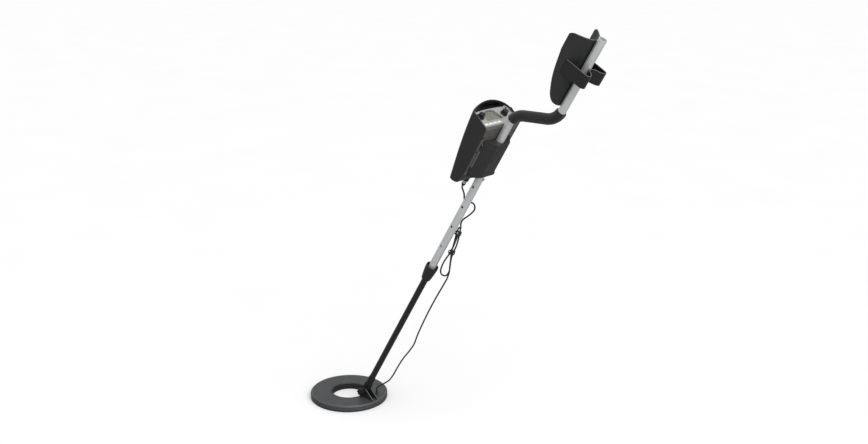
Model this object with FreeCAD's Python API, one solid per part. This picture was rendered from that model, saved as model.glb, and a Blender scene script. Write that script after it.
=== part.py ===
import FreeCAD, Part
import math
import os

V = FreeCAD.Vector

# Metal detector. Millimetres. World frame: +Z up, origin at the centre of the search coil's
# bottom face, +X from the coil towards the user's arm, +Y to the far side.
# Everything above the coil is drawn in the shaft frame and then placed: X runs up the shaft
# from the coil pivot, Y is world +Y, Z is square to both and points away from the ground.

# ---- driving dimensions ----
SHAFT_TILT = 60.0            # degrees between the shaft and the ground
PIVOT = V(64, 0, 39)         # coil pivot, world frame

COIL_R = 105.0
COIL_HOLE_R = 46.0
COIL_T = 17.0
COIL_SEAM_Z = 8.5
COIL_WALL = 2.0
EAR_IN = 7.0                 # inner face of each ear from the centre plane
EAR_OUT = 10.0
PIVOT_BOLT_R = 3.0
RUN = 0.05                   # radial running clearance

ROD_R = 8.0                  # lower rod
ROD_BORE_R = 6.2
ROD_START = 26.0
ROD_END = 549.0
SLEEVE_R = 9.5               # widened foot that holds the rod
SLEEVE_START = 20.0
SLEEVE_END = 48.0
TONGUE_Y = 5.5

TUBE_R = 9.5                 # aluminium tubes
TUBE_BORE_R = 8.08
MIDDLE_START = 455.0
MIDDLE_END = 742.0
SPIGOT_R = 8.0
SPIGOT_BORE_R = 6.7
SPIGOT_END = 776.0
HOLE_PITCH = 63.5
FIRST_HOLE = 541.0
HOLE_COUNT = 4
MID_BUTTON_X = 760.5

BEND_R = 50.0                # centre-line radius of the two bends of the upper tube
BEND_1 = (945.4, 0.0)        # where the straight centre lines would cross, (x, z)
BEND_2 = (1006.0, -99.5)
TUBE_TOP = 1220.0
END_BORE_R = 8.3               # reamed mouth of the arm end, for an end plug
END_BORE_DEPTH = 40.0
FOAM_R = 13.25

COLLAR_START = 426.0
COLLAR_END = 470.0

BOX_TOE = 739.4              # lower end of the control box
BOX_MOUTH = 936.0            # end of the loft that makes the box, past the hood's lip
BOX_FLOOR = 10.6             # z of the box's bottom face
BOX_WALL = 2.5
FIT = 0.3                    # gap between a plate and the shell around it

PANEL_TILT = 8.0             # degrees the panel leans back
PANEL_FOOT = (907.7, 15.7)   # foot of the panel's front face, (x, z)
PANEL_T = 2.5
BUTTON_X = (-53.5, -38.0, -22.5, -7.0)
BUTTON_Y = 5.6
LEFT_KNOB = (-51.0, 30.0)
RIGHT_KNOB = (31.0, 26.0)
JACK = (50.0, 40.0)
JACK_BORE_R = 3.25

COVER_X = (768.0, 870.0)     # battery cover under the box
COVER_Y = 46.0
COVER_Z = -14.0
HINGE_Y = -48.8
HINGE_Z = 8.0

SOCKET_Y = -1.0
SOCKET_Z = 31.0
CABLE_R = 2.0

CUFF_BASE_Z = -87.75         # mid-surface of the cuff on the centre plane
CUFF_HALF_W = 49.0
CUFF_DEPTH = 39.0
CUFF_T = 2.5
CUFF_X = (1039.0, 1209.5)
STAND_X = (1119.0, 1150.0)
ARM_Z = BEND_2[1]
CUFF_BOLT_X = (1085.0, 1176.0)

SHAFT_PLACE = FreeCAD.Placement(PIVOT, FreeCAD.Rotation(V(0, 1, 0), -SHAFT_TILT))


# ---- helpers ----
def rod(r, a, b):
    """Solid cylinder of radius r from point a to point b."""
    d = b.sub(a)
    return Part.makeCylinder(r, d.Length, a, d)


def ring(r_out, r_in, a, b):
    d = b.sub(a).normalize()
    return rod(r_out, a, b).cut(rod(r_in, a.sub(d), b.add(d)))


def block(x, y, z):
    """Box from three (low, high) pairs."""
    return Part.makeBox(x[1] - x[0], y[1] - y[0], z[1] - z[0], V(x[0], y[0], z[0]))


def prism_xz(points, y0, y1):
    """Polygon in the XZ plane, extruded from y0 to y1."""
    wire = Part.makePolygon([V(x, y0, z) for x, z in points] + [V(points[0][0], y0, points[0][1])])
    return Part.Face(wire).extrude(V(0, y1 - y0, 0))


def prism_xy(points, z0, z1):
    wire = Part.makePolygon([V(x, y, z0) for x, y in points] + [V(points[0][0], points[0][1], z0)])
    return Part.Face(wire).extrude(V(0, 0, z1 - z0))


def spline(points):
    curve = Part.BSplineCurve()
    curve.interpolate(points)
    return curve.toShape()


def pipe(wire, r):
    """Round bar of radius r along a wire."""
    start = wire.Edges[0]
    p = start.valueAt(start.FirstParameter)
    d = start.tangentAt(start.FirstParameter)
    circle = Part.Wire([Part.makeCircle(r, p, d)])
    return Part.Solid(wire.makePipeShell([circle], True, False))


def cable(points, r):
    """Round cable of radius r along a smooth curve, built from short spans between rings."""
    curve = Part.BSplineCurve()
    curve.interpolate([V(*p) for p in points])
    rings = []
    side = V(0, 1, 0)
    for point in curve.toShape().discretize(Deflection=0.05):
        tangent = curve.tangent(curve.parameter(point))[0]
        side = (side - tangent * side.dot(tangent)).normalize()
        circle = Part.Circle(point, tangent, r)
        circle.XAxis = side
        rings.append(Part.Wire(circle.toShape()))
    spans = [Part.makeLoft([a, b], True, True) for a, b in zip(rings, rings[1:])]
    return spans[0].multiFuse(spans[1:])


def band(path, thickness, depth):
    """Strip of even thickness that follows a plane curve, extruded by the vector depth."""
    across = V(depth).normalize()
    steps = 24
    first, last = path.FirstParameter, path.LastParameter
    one, two = [], []
    for k in range(steps + 1):
        t = first + (last - first) * k / steps
        side = path.tangentAt(t).cross(across) * (thickness / 2)
        one.append(path.valueAt(t).add(side))
        two.append(path.valueAt(t).sub(side))
    ends = [Part.makeLine(one[-1], two[-1]), Part.makeLine(two[0], one[0])]
    outline = Part.Wire([spline(one), ends[0], spline(two[::-1]), ends[1]])
    return Part.Face(outline).extrude(depth)


def merge(*shapes):
    out = shapes[0]
    for s in shapes[1:]:
        out = out.fuse(s)
    return out.removeSplitter()


def carve(shape, *tools):
    for t in tools:
        shape = shape.cut(t)
    return shape


def group(shapes):
    return Part.makeCompound(shapes)


def export(name, shape, place=None):
    """Write one node, moved from its own drawing frame to the world frame."""
    out = shape.copy()
    if place is not None:
        out.Placement = place.multiply(out.Placement)
    out.exportStep("parts/" + name + ".step")


def on_shaft(name, shape):
    export(name, shape, SHAFT_PLACE)


# ---- search coil, drawn in the world frame ----
def revolve_rz(points):
    wire = Part.makePolygon([V(r, 0, z) for r, z in points] + [V(points[0][0], 0, points[0][1])])
    return Part.Face(wire).revolve(V(0, 0, 0), V(0, 0, 1), 360)


def coil_lower_shell():
    groove = 0.7
    ch = 2.0
    return revolve_rz([
        (COIL_HOLE_R, 0), (COIL_R - ch, 0), (COIL_R, ch), (COIL_R, COIL_SEAM_Z - groove),
        (COIL_R - groove, COIL_SEAM_Z), (COIL_R - COIL_WALL, COIL_SEAM_Z),
        (COIL_R - COIL_WALL, COIL_WALL), (COIL_HOLE_R + COIL_WALL, COIL_WALL),
        (COIL_HOLE_R + COIL_WALL, COIL_SEAM_Z), (COIL_HOLE_R, COIL_SEAM_Z)])


def ear(y0, y1):
    outline = [(48.5, COIL_T - 1.5), (51.5, 33), (57.5, 43.2), (64.5, 47.5), (71.0, 45.3),
               (102.0, COIL_T + 0.6), (102.0, COIL_T - 1.5)]
    return prism_xz(outline, y0, y1)


def coil_upper_shell():
    groove = 0.7
    ch = 2.6
    lid = revolve_rz([
        (COIL_HOLE_R, COIL_SEAM_Z), (COIL_HOLE_R + COIL_WALL, COIL_SEAM_Z),
        (COIL_HOLE_R + COIL_WALL, COIL_T - COIL_WALL), (COIL_R - COIL_WALL, COIL_T - COIL_WALL - 1),
        (COIL_R - COIL_WALL, COIL_SEAM_Z), (COIL_R - groove, COIL_SEAM_Z),
        (COIL_R, COIL_SEAM_Z + groove), (COIL_R, COIL_T - ch), (COIL_R - ch, COIL_T),
        (COIL_HOLE_R + 1.2, COIL_T), (COIL_HOLE_R, COIL_T - 1.2)])
    bolt_hole = rod(PIVOT_BOLT_R + RUN, V(PIVOT.x, -20, PIVOT.z), V(PIVOT.x, 20, PIVOT.z))
    gland_hole = rod(2.55, V(73.8, 33.5, 10), V(73.8, 33.5, 20))
    return carve(merge(lid, ear(-EAR_OUT, -EAR_IN), ear(EAR_IN, EAR_OUT)), bolt_hole, gland_hole)


def winding(radius, half_w, height):
    z0 = COIL_WALL + 0.4
    return ring(radius + half_w, radius - half_w, V(0, 0, z0), V(0, 0, z0 + height))


def cable_gland():
    foot = Part.makeCone(6.0, 4.2, 3.0, V(73.8, 33.5, COIL_T))
    neck = Part.makeCone(4.2, 3.0, 5.0, V(73.8, 33.5, COIL_T + 3))
    stem = rod(2.5, V(73.8, 33.5, COIL_T - 5), V(73.8, 33.5, COIL_T))
    cable_room = rod(2.3, V(73.8, 33.5, COIL_T + 2), V(73.8, 33.5, COIL_T + 9))
    return merge(foot, neck, stem).cut(cable_room)


def pivot_bolt():
    y_end = -23.0
    shank = rod(PIVOT_BOLT_R, V(PIVOT.x, y_end, PIVOT.z), V(PIVOT.x, EAR_OUT, PIVOT.z))
    head = Part.makeCone(6.5, 4.6, 3.2, V(PIVOT.x, EAR_OUT, PIVOT.z), V(0, 1, 0))
    return merge(shank, head)


def pivot_washers():
    out = []
    for side in (-1, 1):
        a = V(PIVOT.x, side * (TONGUE_Y + 0.05), PIVOT.z)
        b = V(PIVOT.x, side * (EAR_IN - 0.05), PIVOT.z)
        out.append(ring(8.0, PIVOT_BOLT_R + RUN, a, b))
    return group(out)


def pivot_knob():
    y0 = -EAR_OUT - 0.2
    hub = rod(7.0, V(PIVOT.x, y0, PIVOT.z), V(PIVOT.x, y0 - 14, PIVOT.z))
    for k in range(6):
        a = math.radians(60 * k)
        c = V(PIVOT.x + 6.6 * math.cos(a), y0 - 3, PIVOT.z + 6.6 * math.sin(a))
        hub = hub.fuse(rod(3.2, c, c.add(V(0, -11, 0))))
    bore = rod(PIVOT_BOLT_R + RUN, V(PIVOT.x, y0 + 1, PIVOT.z), V(PIVOT.x, -23.2, PIVOT.z))
    return hub.cut(bore).removeSplitter()


# ---- lower rod ----
def rod_tip():
    tongue = merge(rod(9.5, V(0, -TONGUE_Y, 0), V(0, TONGUE_Y, 0)),
                   block((0, SLEEVE_START + 6), (-TONGUE_Y, TONGUE_Y), (-9.5, 9.5)))
    cone = Part.makeCone(7.0, SLEEVE_R, 5.0, V(SLEEVE_START, 0, 0), V(1, 0, 0))
    sleeve = rod(SLEEVE_R, V(SLEEVE_START + 5, 0, 0), V(SLEEVE_END, 0, 0))
    socket = rod(ROD_R + 0.02, V(ROD_START, 0, 0), V(SLEEVE_END + 1, 0, 0))
    spigot = rod(ROD_BORE_R - 0.1, V(ROD_START, 0, 0), V(78, 0, 0))
    hole = rod(PIVOT_BOLT_R + RUN, V(0, -20, 0), V(0, 20, 0))
    return carve(merge(tongue, cone, sleeve), hole, socket).fuse(spigot).removeSplitter()


def lower_rod():
    body = ring(ROD_R, ROD_BORE_R, V(ROD_START + 0.05, 0, 0), V(ROD_END, 0, 0))
    hole = rod(3.1, V(FIRST_HOLE, -12, 0), V(FIRST_HOLE, 0, 0))
    return body.cut(hole)


def snap_button(x, direction, reach, foot_at):
    """Round button with a foot flange; direction points out of the tube."""
    tip = direction * reach
    stem = rod(3.0, V(x, 0, 0).add(direction * (foot_at - 1.2)), V(x, 0, 0).add(tip))
    foot = rod(4.0, V(x, 0, 0).add(direction * (foot_at - 1.2)), V(x, 0, 0).add(direction * foot_at))
    return merge(stem, foot)


def leaf_spring(x, direction, foot_at, back_r):
    """V spring behind a button: one leaf under the foot, a bend, one leaf on the far wall."""
    def along(dx, h):
        return V(x + dx, 0, 0).add(direction * h)
    top = foot_at - 1.25
    path = [along(4.5, top - 0.4), along(-6, top - 0.8), along(-22, top - 3.0), along(-27, -1.0),
            along(-22, 2.4 - back_r), along(-6, 1.6 - back_r), along(4.5, 1.4 - back_r)]
    side = V(0, 0, 1) if abs(direction.z) < 0.5 else V(0, 1, 0)
    leaf = band(spline(path), 0.6, side * 5.0)
    leaf.translate(side * -2.5)
    return leaf


# ---- shaft ----
def locking_collar():
    r_low, r_mid, r_top = 11.6, 14.6, 16.2
    flare, rim = COLLAR_START + 20, COLLAR_END - 3
    body = merge(Part.makeCone(r_low, r_mid, flare - COLLAR_START, V(COLLAR_START, 0, 0), V(1, 0, 0)),
                 Part.makeCone(r_mid, r_top, rim - flare, V(flare, 0, 0), V(1, 0, 0)),
                 Part.makeCone(r_top, r_top - 0.7, 3, V(rim, 0, 0), V(1, 0, 0)))
    rod_hole = rod(ROD_R + 0.1, V(COLLAR_START - 1, 0, 0), V(COLLAR_END + 1, 0, 0))
    collet_room = rod(10.4, V(COLLAR_START + 8, 0, 0), V(MIDDLE_START + 1, 0, 0))
    cup = rod(13.8, V(MIDDLE_START + 1, 0, 0), V(COLLAR_END + 1, 0, 0))
    return carve(body, rod_hole, collet_room, cup)


def collet():
    """Split bush that the collar squeezes on to the rod."""
    x0 = COLLAR_START + 8.5
    bush = merge(Part.makeCone(9.4, 10.3, 6, V(x0, 0, 0), V(1, 0, 0)),
                 rod(10.3, V(x0 + 6, 0, 0), V(MIDDLE_START - 0.1, 0, 0)))
    bore = rod(ROD_R + 0.08, V(x0 - 1, 0, 0), V(MIDDLE_START + 1, 0, 0))
    slit = block((x0 - 1, x0 + 15), (-0.8, 0.8), (-12, 0))
    return carve(bush, bore, slit)


def middle_tube():
    body = ring(TUBE_R, TUBE_BORE_R, V(MIDDLE_START, 0, 0), V(MIDDLE_END, 0, 0))
    neck = ring(SPIGOT_R, SPIGOT_BORE_R, V(MIDDLE_END - 0.01, 0, 0), V(SPIGOT_END, 0, 0))
    step = ring(TUBE_R, SPIGOT_BORE_R, V(MIDDLE_END - 1.4, 0, 0), V(MIDDLE_END, 0, 0))
    holes = [rod(3.15, V(FIRST_HOLE + k * HOLE_PITCH, -12, 0), V(FIRST_HOLE + k * HOLE_PITCH, 0, 0))
             for k in range(HOLE_COUNT)]
    mid_hole = rod(3.1, V(MID_BUTTON_X, 0, 0), V(MID_BUTTON_X, 0, -12))
    return carve(merge(body, step, neck), mid_hole, *holes)


def arc_point(centre, radius, angle):
    return V(centre[0] + radius * math.sin(angle), 0, centre[1] + radius * math.cos(angle))


def bend_centres():
    turn = math.atan2(BEND_1[1] - BEND_2[1], BEND_2[0] - BEND_1[0])
    reach = BEND_R * math.tan(turn / 2)
    return turn, (BEND_1[0] - reach, -BEND_R), (BEND_2[0] + reach, BEND_2[1] + BEND_R)


def bend_arc(centre, sign, a0, a1):
    """Arc about a bend centre; sign +1 curves away from +Z, -1 curves back."""
    pts = [arc_point(centre, sign * BEND_R, sign * a) for a in (a0, (a0 + a1) / 2, a1)]
    return Part.Arc(*pts).toShape()


def upper_path(start_x, first_angle, last_angle, end_x):
    """Centre line of the upper tube, or of the part of it between two bend angles."""
    turn, c1, c2 = bend_centres()
    edges = []
    if start_x is not None:
        edges.append(Part.makeLine(V(start_x, 0, 0), V(c1[0], 0, 0)))
    edges.append(bend_arc(c1, 1, first_angle, turn))
    mid_a = arc_point(c1, BEND_R, turn)
    mid_b = arc_point(c2, -BEND_R, turn)
    edges.append(Part.makeLine(mid_a, mid_b))
    second = [V(c2[0] - BEND_R * math.sin(a), 0, c2[1] - BEND_R * math.cos(a))
              for a in (turn, (turn + last_angle) / 2, last_angle)]
    edges.append(Part.Arc(*second).toShape())
    if end_x is not None:
        edges.append(Part.makeLine(V(c2[0], 0, BEND_2[1]), V(end_x, 0, BEND_2[1])))
    return Part.Wire(edges)


def upper_tube():
    path = upper_path(MIDDLE_END, 0.0, 0.0, TUBE_TOP)
    body = pipe(path, TUBE_R).cut(pipe(path, TUBE_BORE_R))
    mid_hole = rod(3.15, V(MID_BUTTON_X, 0, 0), V(MID_BUTTON_X, 0, -12))
    inserts = [rod(3.65, V(x, 0, ARM_Z), V(x, 0, ARM_Z + 14)) for x in CUFF_BOLT_X]
    reamed = rod(END_BORE_R, V(TUBE_TOP - END_BORE_DEPTH, 0, ARM_Z), V(TUBE_TOP + 1, 0, ARM_Z))
    return carve(body, mid_hole, reamed, *inserts)


def foam_grip():
    path = upper_path(None, math.radians(17.0), math.radians(5.7), None)
    return pipe(path, FOAM_R).cut(pipe(upper_path(MIDDLE_END, 0.0, 0.0, TUBE_TOP), TUBE_R))


# ---- arm cuff and stand ----
def cuff_height(y):
    return CUFF_BASE_Z + CUFF_DEPTH * (abs(y) / CUFF_HALF_W) ** 1.9


def arm_cuff():
    steps = 12
    ys = [CUFF_HALF_W * (2 * k / steps - 1) for k in range(steps + 1)]
    section = spline([V(CUFF_X[0], y, cuff_height(y)) for y in ys])
    trough = band(section, CUFF_T, V(CUFF_X[1] - CUFF_X[0], 0, 0))
    top = spline([V(1039, 0, -88), V(1043, 0, -81), V(1053, 0, -73.5), V(1070, 0, -67), V(1094, 0, -60.5),
                  V(1134, 0, -53.5), V(1173, 0, -48.5), V(1195, 0, -46.2), V(1205, 0, -49), V(1209.5, 0, -57)])
    sides = Part.makePolygon([V(1209.5, 0, -57), V(1209.5, 0, -95), V(1039, 0, -95), V(1039, 0, -88)])
    face = Part.Face(Part.Wire([top] + sides.Edges))
    outline = face.extrude(V(0, 120, 0))
    outline.translate(V(0, -60, 0))
    holes = [rod(2.6, V(x, 0, -95), V(x, 0, -80)) for x in CUFF_BOLT_X]
    return carve(trough.common(outline), *holes)


def stand_bracket():
    t = 3.0
    x0, x1 = STAND_X
    leg_y = 37.0
    z_top, z_foot = -66.5, -122.0
    z_hug = ARM_Z - TUBE_R - t / 2 - 0.05
    shape = extrude_yz(web_outline(leg_y, z_top, z_foot, z_hug), x0, x0 + 3.0)
    for side in (-1, 1):
        leg = block(STAND_X, tuple(sorted((side * (leg_y - t / 2), side * (leg_y + t / 2)))), (z_foot, z_top))
        foot = Part.Arc(V(x0, side * leg_y, z_foot), V(x0, side * (leg_y - 2.4), z_foot - 5.7),
                        V(x0, side * (leg_y - 8), z_foot - 8)).toShape()
        rise = spline([V(x0, side * (leg_y - 8), z_foot - 8), V(x0, side * 18, z_foot - 2.5),
                       V(x0, side * 9, z_hug - 2.4), V(x0, 0, z_hug)])
        shape = merge(shape, leg, band(foot, t, V(x1 - x0, 0, 0)), band(rise, t, V(x1 - x0, 0, 0)))
    tube_room = rod(TUBE_R + 0.03, V(x0 - 1, 0, ARM_Z), V(x1 + 1, 0, ARM_Z))
    return carve(shape, tube_room, cuff_room(x0 - 1, x1 + 1)).removeSplitter()


def web_outline(leg_y, z_top, z_foot, z_hug):
    """Front plate of the bracket, (y, z) points."""
    half = [(9, z_hug - 2), (18, z_foot - 2), (leg_y - 8, z_foot - 7), (leg_y, z_foot), (leg_y, z_top)]
    return [(-y, z) for y, z in half[::-1]] + half


def cuff_room(x0, x1):
    """Everything above the cuff's outer surface, so that what carries the cuff follows it."""
    steps = 12
    drop = CUFF_T / 2 + 0.05
    pts = []
    for k in range(steps + 1):
        y = (CUFF_HALF_W + 4) * (2 * k / steps - 1)
        slope = 1.9 * CUFF_DEPTH / CUFF_HALF_W * (abs(y) / CUFF_HALF_W) ** 0.9 * (1 if y > 0 else -1)
        n = math.hypot(1, slope)
        pts.append(V(x0, y + drop * slope / n, cuff_height(y) - drop / n))
    low = spline(pts)
    cap = Part.makePolygon([pts[-1], V(x0, 70, 0), V(x0, -70, 0), pts[0]])
    return Part.Face(Part.Wire([low] + cap.Edges)).extrude(V(x1 - x0, 0, 0))


def cuff_bolts():
    out = []
    for x in CUFF_BOLT_X:
        seat = CUFF_BASE_Z + CUFF_T / 2
        head = Part.makeCone(5.0, 3.4, 2.2, V(x, 0, seat + 0.65))
        out.append(merge(head, rod(2.5, V(x, 0, ARM_Z + 0.6), V(x, 0, seat + 0.7))))
    return group(out)


def cuff_nuts():
    """Rivet nuts set in the tube's upper wall, with a thin flange between tube and cuff."""
    crest = ARM_Z + TUBE_R
    out = []
    for x in CUFF_BOLT_X:
        nut = merge(rod(3.6, V(x, 0, ARM_Z + 1), V(x, 0, crest)),
                    rod(4.8, V(x, 0, crest - 1.5), V(x, 0, crest + 0.7)))
        nut = nut.cut(ring(TUBE_R + 0.02, 0.01, V(x - 6, 0, ARM_Z), V(x + 6, 0, ARM_Z)).cut(
            rod(3.6, V(x, 0, ARM_Z), V(x, 0, crest + 1))))
        out.append(nut.cut(rod(2.55, V(x, 0, ARM_Z), V(x, 0, crest + 1))))
    return group(out)


# ---- control box ----
def box_half_width(x):
    return 60.0 + (x - 764.0) * 4.5 / 145.0


def box_side_height(x):
    t = max(0.0, min(1.0, (x - 742.7) / 184.3))
    return 43.4 + 22.6 * (1 - (1 - t) ** 1.6)


def box_section(x, inset, floor):
    """Closed outline of the box at x, drawn in by inset, down to floor."""
    w = box_half_width(x) - inset
    side = box_side_height(x) - inset
    rise = 9.0 + 2.0 * (x - 740.0) / 190.0
    rc = 10.0
    shoulder = (w - rc, side + 1.6)
    right = [Part.makeLine(V(x, w, floor), V(x, w, side - rc)),
             Part.Arc(V(x, w, side - rc), V(x, w - 2.9, side - 2.4), V(x, *shoulder)).toShape()]
    roof = Part.Arc(V(x, *shoulder), V(x, 0, side + rise), V(x, -shoulder[0], shoulder[1])).toShape()
    left = [Part.Arc(V(x, -shoulder[0], shoulder[1]), V(x, -w + 2.9, side - 2.4),
                     V(x, -w, side - rc)).toShape(),
            Part.makeLine(V(x, -w, side - rc), V(x, -w, floor))]
    base = Part.makeLine(V(x, -w, floor), V(x, w, floor))
    return Part.Wire(right + [roof] + left + [base])


def box_loft(inset, floor, x_start, x_end):
    stations = [x_start, 775.0, 815.0, 860.0, 900.0, x_end]
    return Part.makeLoft([box_section(x, inset, floor) for x in stations], True, False)


def toe_cut(shift):
    """Region below the sloping lower end of the box, moved inwards by shift."""
    s = shift
    return prism_xz([(700, -20), (767 + s * 2.6, BOX_FLOOR - 1.5), (763 + s * 2.6, BOX_FLOOR),
                     (744 + s * 1.0, 17.7 + s * 0.8), (740.7 + s, 24.7 + s * 0.4), (738 + s, 38.6),
                     (738 + s, 60), (700, 60)], -100, 100)


def mouth_cut():
    """Everything in front of the panel end below the hood."""
    return prism_xz([(900.5, 5), (902.5, BOX_FLOOR), (908.7, 15.4), (922.3, 61.2), (924.0, 64.0),
                     (960, 64.5), (960, 5)], -100, 100)


def hood_plan_cut():
    """Trims the hood's lip to a shallow curve, furthest out on the centre plane."""
    lip = Part.Arc(V(910, -80, 50), V(929, 0, 50), V(910, 80, 50)).toShape()
    rest = Part.makePolygon([V(910, 80, 50), V(970, 80, 50), V(970, -80, 50), V(910, -80, 50)])
    return Part.Face(Part.Wire([lip] + rest.Edges)).extrude(V(0, 0, 60))


def box_cavity(gap):
    inner = box_loft(BOX_WALL + gap, BOX_FLOOR - 5, BOX_TOE + BOX_WALL + gap, BOX_MOUTH + 4)
    return inner.cut(toe_cut(BOX_WALL + gap))


def screw_points():
    return [(x, side * (box_half_width(x) - 6.6)) for x in (839.0, 879.0) for side in (-1, 1)]


def housing_shell():
    outer = carve(box_loft(0, BOX_FLOOR, BOX_TOE, BOX_MOUTH), toe_cut(0))
    shell = carve(outer, box_cavity(0), mouth_cut(), hood_plan_cut())
    for x, y in screw_points():
        post = rod(4.2, V(x, y, BOX_FLOOR + 2.55), V(x, y, 40))
        shell = shell.fuse(post.common(outer))
        shell = shell.cut(rod(1.4, V(x, y, BOX_FLOOR), V(x, y, 26)))
    socket = rod(6.6, V(BOX_TOE - 3, SOCKET_Y, SOCKET_Z), V(BOX_TOE + 8, SOCKET_Y, SOCKET_Z))
    return shell.cut(socket).removeSplitter()


def housing_base():
    x0, x1 = 769.5, 903.0
    t = 2.5
    inset = BOX_WALL + FIT
    plan = [(x0, -box_half_width(x0) + inset), (x1, -box_half_width(x1) + inset),
            (x1, box_half_width(x1) - inset), (x0, box_half_width(x0) - inset)]
    plate = prism_xy(plan, BOX_FLOOR, BOX_FLOOR + t)
    w = box_half_width(x1) - inset
    lip = prism_xz([(901.0, BOX_FLOOR), (903.2, BOX_FLOOR + 0.3), (908.2, 14.6), (906.4, 15.2),
                    (900.0, BOX_FLOOR + t)], -w, w)
    shape = merge(plate, lip)
    for x in (785.0, 843.0):
        shape = shape.fuse(block((x, x + 12), (-14.5, 14.5), (0.1, BOX_FLOOR + 0.5)))
    shape = shape.fuse(block((796.2, 843.8), (HINGE_Y - 2.0, HINGE_Y + 2.0), (HINGE_Z, BOX_FLOOR + 0.5)))
    shape = shape.fuse(rod(2.4, V(796.2, HINGE_Y, HINGE_Z), V(843.8, HINGE_Y, HINGE_Z)))
    tube = rod(TUBE_R + 0.02, V(700, 0, 0), V(920, 0, 0))
    pin = rod(1.25, V(700, HINGE_Y, HINGE_Z), V(920, HINGE_Y, HINGE_Z))
    cuts = [tube, pin]
    for side in (-1, 1):
        cuts.append(block((788, 852), tuple(sorted((side * 15.3, side * 45.2))), (5, 20)))
        for x in (785.0, 843.0):
            cuts.append(rod(1.2, V(x + 6, side * 12, -1), V(x + 6, side * 12, 9)))
    for x, y in screw_points():
        cuts.append(rod(1.8, V(x, y, BOX_FLOOR - 1), V(x, y, BOX_FLOOR + 4)))
        cuts.append(rod(3.4, V(x, y, BOX_FLOOR - 1), V(x, y, BOX_FLOOR + 1.2)))
    for k in range(5):
        x = 874.0 + 5.5 * k
        cuts.append(block((x, x + 2.2), (28, 46), (BOX_FLOOR - 1, BOX_FLOOR + 4)))
    return carve(shape, *cuts).removeSplitter()


def housing_screws():
    out = []
    for x, y in screw_points():
        head = rod(3.2, V(x, y, BOX_FLOOR - 0.3), V(x, y, BOX_FLOOR + 1.2))
        cross = block((x - 2.2, x + 2.2), (y - 0.4, y + 0.4), (BOX_FLOOR - 1, BOX_FLOOR + 0.4))
        shank = rod(1.38, V(x, y, BOX_FLOOR + 1.1), V(x, y, 25))
        out.append(merge(head, shank).cut(cross))
    return group(out)


def tube_clamps():
    out = []
    for x in (785.0, 843.0):
        strap = block((x, x + 12), (-14.5, 14.5), (-11.6, -0.1))
        cuts = [rod(TUBE_R + 0.02, V(700, 0, 0), V(920, 0, 0))]
        for s in (-1, 1):
            cuts.append(rod(1.4, V(x + 6, s * 12, -12), V(x + 6, s * 12, 1)))
            cuts.append(rod(2.4, V(x + 6, s * 12, -12), V(x + 6, s * 12, -7)))
        for s in (-1, 1):
            corner = [(s * 9.5, -13), (s * 16, -13), (s * 16, -5.5), (s * 14.0, -5.5)]
            cuts.append(extrude_yz(corner, x - 1, x + 13))
        out.append(carve(strap, *cuts))
    return group(out)


def clamp_screws():
    out = []
    for x in (791.0, 849.0):
        for s in (-1, 1):
            head = rod(2.2, V(x, s * 12, -8.8), V(x, s * 12, -7.0))
            out.append(head.fuse(rod(1.15, V(x, s * 12, -7.1), V(x, s * 12, 8))).removeSplitter())
    return group(out)


def battery_holder():
    x = (788.3, 851.7)
    shape = None
    for side in (-1, 1):
        cup = block(x, tuple(sorted((side * 15.6, side * 44.9))), (10.8, 28.5))
        pocket = block((789.6, 850.4), tuple(sorted((side * 16.8, side * 43.7))), (10, 26.7))
        lead_hole = rod(1.7, V(850, side * 30, 20), V(852, side * 30, 20))
        cup = carve(cup, pocket, lead_hole)
        shape = cup if shape is None else shape.fuse(cup)
    bridge = block((805, 835), (-16, 16), (14.0, 16.5))
    return shape.fuse(bridge).removeSplitter()


def batteries():
    return group([block((790.0, 838.5), tuple(sorted((side * 17.0, side * 43.5))), (9.0, 26.5))
                  for side in (-1, 1)])


def battery_snaps():
    out = []
    for side in (-1, 1):
        y = tuple(sorted((side * 18.0, side * 42.5)))
        cap = block((842.6, 846.4), y, (10.0, 25.5))
        studs = [ring(3.2, 1.5, V(838.55, side * c, 17.7), V(842.6, side * c, 17.7)) for c in (24.0, 36.6)]
        out.append(merge(cap, *studs))
    return group(out)


def cover_section(inset):
    w = COVER_Y - inset
    top = 10.3 if inset == 0 else 14.0
    knee = 6.5 + inset * 0.4
    flat = 22.0 - inset * 0.5
    z = COVER_Z + inset
    return [(-w, top), (-w, knee), (-flat, z), (flat, z), (w, knee), (w, top)]


def extrude_yz(points, x0, x1):
    wire = Part.makePolygon([V(x0, y, z) for y, z in points] + [V(x0, points[0][0], points[0][1])])
    return Part.Face(wire).extrude(V(x1 - x0, 0, 0))


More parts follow.
